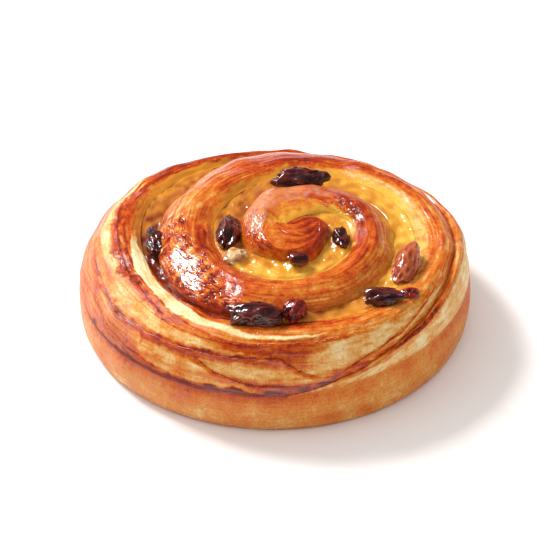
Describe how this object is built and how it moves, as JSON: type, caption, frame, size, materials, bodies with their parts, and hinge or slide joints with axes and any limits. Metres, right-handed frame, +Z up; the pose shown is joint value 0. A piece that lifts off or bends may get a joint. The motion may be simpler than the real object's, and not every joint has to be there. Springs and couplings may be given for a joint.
{
  "type": "raisin custard pastry swirl",
  "caption": "Round flat snail of laminated pastry rolled up around baked custard, with raisins along the spiral, a flaky outer slope and a flat underside.",
  "frame": {"origin": "middle of the flat underside, at the centre of the bounding box's base", "axes": "+Z up out of the spiral's face, +X to the viewer's right in the picture, +Y away from the viewer"},
  "size_m": [0.1093, 0.1076, 0.0341],
  "materials": {
    "baked_dough": "baked laminated dough under a thin egg and syrup glaze, deep red-brown on the crests and pale between the layers",
    "baked_custard": "set pastry custard with a smooth damp skin",
    "dark_raisin": "wrinkled dark raisin, sticky with glaze",
    "amber_raisin": "wrinkled amber raisin, sticky with glaze",
    "coated_raisin": "raisin under a thin coat of baked custard"
  },
  "bodies": {
    "root": {"dough": "baked_dough", "custard": "baked_custard", "raisin_back": "dark_raisin", "raisin_inner_left": "dark_raisin", "raisin_pale": "coated_raisin", "raisin_inner_right": "dark_raisin", "raisin_knob": "dark_raisin", "raisin_front": "dark_raisin", "raisin_front_red": "dark_raisin", "raisin_right": "amber_raisin", "raisin_right_front": "dark_raisin", "raisin_small": "amber_raisin", "raisin_left": "dark_raisin"}
  },
  "joints": []
}
